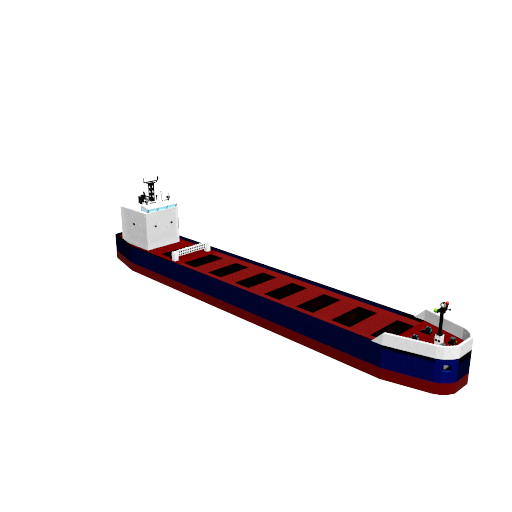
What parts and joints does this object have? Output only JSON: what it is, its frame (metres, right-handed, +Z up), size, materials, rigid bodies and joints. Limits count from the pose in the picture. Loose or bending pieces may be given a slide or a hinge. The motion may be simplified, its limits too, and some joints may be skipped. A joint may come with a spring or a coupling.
{
  "type": "brick-built toy ore carrier",
  "caption": "Toy bulk ore carrier built of studded bricks, with open holds, a hatch crane, a bridge block aft and mooring gear and a light mast on the forecastle.",
  "frame": {"origin": "on the flat bottom, on the centreline, halfway along the hull's overall length", "axes": "+X to the bow, +Y to port, +Z up"},
  "size_m": [1.424, 0.208, 0.336],
  "materials": {
    "navy": "gloss",
    "red": "gloss",
    "bottom_red": "gloss",
    "white": "gloss",
    "black": "gloss",
    "hold": "satin",
    "brown": "gloss",
    "glass": "clear",
    "silver": "satin",
    "gold": "satin",
    "green": "clear",
    "signal_red": "clear"
  },
  "bodies": {
    "ship": {"side_shell_starboard": "navy", "side_shell_port": "navy", "bow_shell": "navy", "stern_shell": "navy", "main_deck": "red", "forecastle_deck": "red", "lower_hull": "bottom_red", "hold_walls": "hold", "bulwark": "white", "block_walls": "white", "block_deck": "white", "wheelhouse_back": "white", "wheelhouse_roof": "white", "top_house": "white", "bow_mast_base": "white", "funnel": "black", "mast_walk": "black", "mast_boom": "black", "lattice_mast": "black", "signal_yard": "black", "siren": "black", "bow_mast": "black", "bow_crosshead": "black", "winch_bed_starboard": "black", "winch_bed_port": "black", "capstan_seat_starboard": "black", "capstan_seat_port": "black", "windscreen_frame": "brown", "wheelhouse_side_starboard": "brown", "wheelhouse_side_port": "brown", "windscreen_glass": "glass", "side_window_starboard": "glass", "side_window_port": "glass", "anchor_starboard": "silver", "anchor_port": "silver", "light_starboard": "green", "light_port": "signal_red"},
    "hatch_crane": {"crane_leg_starboard": "white", "crane_leg_port": "white", "crane_beam": "white"},
    "direction_loop": {"loop_antenna": "white"},
    "searchlight_starboard": {"searchlight_starboard": "black", "searchlight_lens_starboard": "gold"},
    "searchlight_port": {"searchlight_port": "black", "searchlight_lens_port": "gold"},
    "bow_lamp": {"bow_lamp": "black", "bow_lamp_face": "white"},
    "winch_drum_starboard": {"winch_drum_starboard": "black"},
    "winch_drum_port": {"winch_drum_port": "black"},
    "capstan_drum_starboard": {"capstan_drum_starboard": "black"},
    "capstan_drum_port": {"capstan_drum_port": "black"}
  },
  "joints": [
    {"name": "hatch_crane_travel", "type": "slide", "parent": "ship", "child": "hatch_crane", "axis": [1, 0, 0], "range_m": [-0.144, 0.848]},
    {"name": "direction_loop_turn", "type": "hinge", "parent": "ship", "child": "direction_loop", "pos_m": [-0.528, 0.0352, 0.2464], "axis": [0, 0, 1], "continuous": true},
    {"name": "searchlight_starboard_turn", "type": "hinge", "parent": "ship", "child": "searchlight_starboard", "pos_m": [-0.504, -0.048, 0.2464], "axis": [0, 0, 1], "continuous": true},
    {"name": "searchlight_port_turn", "type": "hinge", "parent": "ship", "child": "searchlight_port", "pos_m": [-0.504, 0.048, 0.2464], "axis": [0, 0, 1], "continuous": true},
    {"name": "bow_lamp_turn", "type": "hinge", "parent": "ship", "child": "bow_lamp", "pos_m": [0.64, 0.0012, 0.192], "axis": [0, 0, 1], "continuous": true},
    {"name": "winch_drum_starboard_turn", "type": "hinge", "parent": "ship", "child": "winch_drum_starboard", "pos_m": [0.592, -0.032, 0.1072], "axis": [0, 1, 0], "continuous": true},
    {"name": "winch_drum_port_turn", "type": "hinge", "parent": "ship", "child": "winch_drum_port", "pos_m": [0.592, 0.032, 0.1072], "axis": [0, 1, 0], "continuous": true},
    {"name": "capstan_drum_starboard_turn", "type": "hinge", "parent": "ship", "child": "capstan_drum_starboard", "pos_m": [0.664, -0.024, 0.1024], "axis": [0, 0, 1], "continuous": true},
    {"name": "capstan_drum_port_turn", "type": "hinge", "parent": "ship", "child": "capstan_drum_port", "pos_m": [0.664, 0.024, 0.1024], "axis": [0, 0, 1], "continuous": true}
  ]
}
